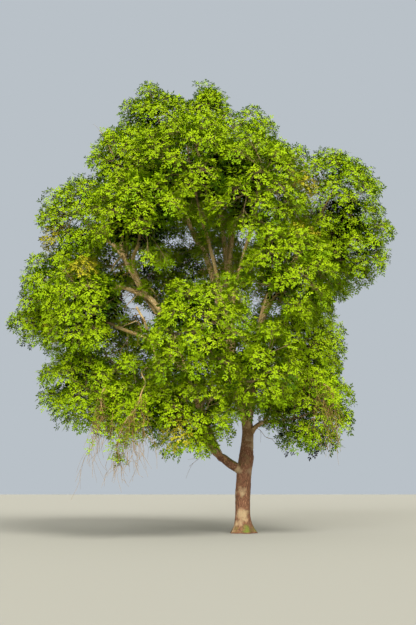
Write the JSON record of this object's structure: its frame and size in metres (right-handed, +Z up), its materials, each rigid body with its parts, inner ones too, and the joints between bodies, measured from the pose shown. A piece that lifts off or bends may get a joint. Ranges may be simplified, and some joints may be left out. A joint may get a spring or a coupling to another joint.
{
  "type": "ash tree",
  "caption": "Tall, round-headed broadleaf tree in early-summer leaf: low-forked trunk, spreading boughs and feathery masses of foliage.",
  "frame": {"origin": "middle of the flat cut under the trunk, at ground level", "axes": "+Z up the trunk; +X to the right of the tree as seen from its best side; -Y towards that viewer"},
  "size_m": [12.7141, 10.993, 14.986],
  "materials": {
    "old_bark": "rough, ridged bark",
    "bough_bark": "smoother young bark",
    "foliage": "leaves, slightly glossy"
  },
  "bodies": {
    "root": {"bough_back_centre": "bough_bark", "bough_back_left": "bough_bark", "bough_back_right": "bough_bark", "bough_crest_left": "old_bark", "bough_front_centre": "bough_bark", "bough_front_left": "bough_bark", "bough_front_right": "bough_bark", "bough_left_far": "bough_bark", "bough_left_shoulder": "bough_bark", "bough_left_tip": "bough_bark", "bough_low_back": "bough_bark", "bough_low_back_left": "bough_bark", "bough_low_back_right": "bough_bark", "bough_low_front": "bough_bark", "bough_low_front_right": "bough_bark", "bough_low_left": "bough_bark", "bough_low_left_hanging": "bough_bark", "bough_low_right": "bough_bark", "bough_middle_front": "bough_bark", "bough_middle_left": "bough_bark", "bough_middle_right": "bough_bark", "bough_right_dome": "old_bark", "bough_right_edge": "bough_bark", "bough_upper_back_left": "bough_bark", "bough_upper_back_right": "bough_bark", "bough_upper_front": "bough_bark", "bough_upper_right": "bough_bark", "left_fork": "old_bark", "main_stem": "old_bark", "trunk": "old_bark", "leaves_back_centre": "foliage", "leaves_back_left": "foliage", "leaves_back_right": "foliage", "leaves_crest_left": "foliage", "leaves_crest_right": "foliage", "leaves_front_centre": "foliage", "leaves_front_left": "foliage", "leaves_front_right": "foliage", "leaves_left_far": "foliage", "leaves_left_shoulder": "foliage", "leaves_left_tip": "foliage", "leaves_low_back": "foliage", "leaves_low_back_left": "foliage", "leaves_low_back_right": "foliage", "leaves_low_front": "foliage", "leaves_low_front_right": "foliage", "leaves_low_left": "foliage", "leaves_low_left_hanging": "foliage", "leaves_low_right": "foliage", "leaves_middle_front": "foliage", "leaves_middle_left": "foliage", "leaves_middle_right": "foliage", "leaves_right_dome": "foliage", "leaves_right_edge": "foliage", "leaves_upper_back_left": "foliage", "leaves_upper_back_right": "foliage", "leaves_upper_front": "foliage", "leaves_upper_left": "foliage", "leaves_upper_right": "foliage"}
  },
  "joints": []
}
